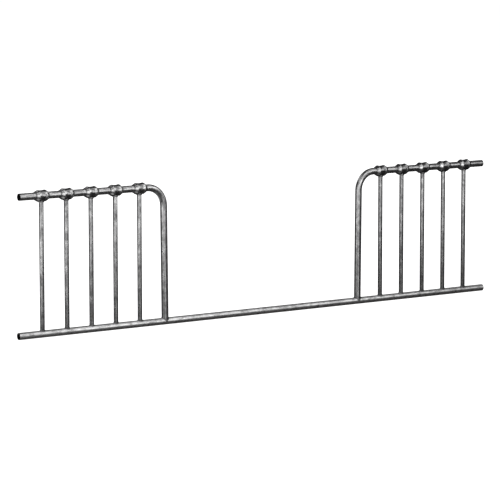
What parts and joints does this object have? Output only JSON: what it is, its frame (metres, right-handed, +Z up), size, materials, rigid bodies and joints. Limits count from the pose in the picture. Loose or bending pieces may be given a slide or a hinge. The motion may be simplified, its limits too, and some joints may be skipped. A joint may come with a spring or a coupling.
{
  "type": "crowd control barrier",
  "caption": "Tubular steel crowd barrier panel: straight lower rail, bent top rails that leave a low open centre, upright bars and cast bead knuckles.",
  "frame": {"origin": "under the middle of the panel, level with the underside of the lower rail", "axes": "+X along the panel towards the right-hand end as seen from the front, +Y through the panel away from the front, +Z up"},
  "size_m": [3.956, 0.079, 0.9866],
  "materials": {
    "tube_steel": "weathered bare galvanised steel, mottled, with streaks along each tube",
    "knuckle_casting": "galvanised malleable iron casting, rubbed bright on its beads",
    "screw_steel": "dark plated set screw",
    "weld_metal": "galvanised fillet weld with fine ripples"
  },
  "bodies": {
    "root": {"lower_rail": "tube_steel", "left_top_rail": "tube_steel", "left_bar_1": "tube_steel", "left_bar_2": "tube_steel", "left_bar_3": "tube_steel", "left_bar_4": "tube_steel", "left_bar_5": "tube_steel", "left_knuckle_1": "knuckle_casting", "left_knuckle_2": "knuckle_casting", "left_knuckle_3": "knuckle_casting", "left_knuckle_4": "knuckle_casting", "left_knuckle_5": "knuckle_casting", "left_grub_screws": "screw_steel", "left_bar_welds": "weld_metal", "left_post_weld": "weld_metal", "right_top_rail": "tube_steel", "right_bar_1": "tube_steel", "right_bar_2": "tube_steel", "right_bar_3": "tube_steel", "right_bar_4": "tube_steel", "right_bar_5": "tube_steel", "right_knuckle_1": "knuckle_casting", "right_knuckle_2": "knuckle_casting", "right_knuckle_3": "knuckle_casting", "right_knuckle_4": "knuckle_casting", "right_knuckle_5": "knuckle_casting", "right_grub_screws": "screw_steel", "right_bar_welds": "weld_metal", "right_post_weld": "weld_metal"}
  },
  "joints": []
}
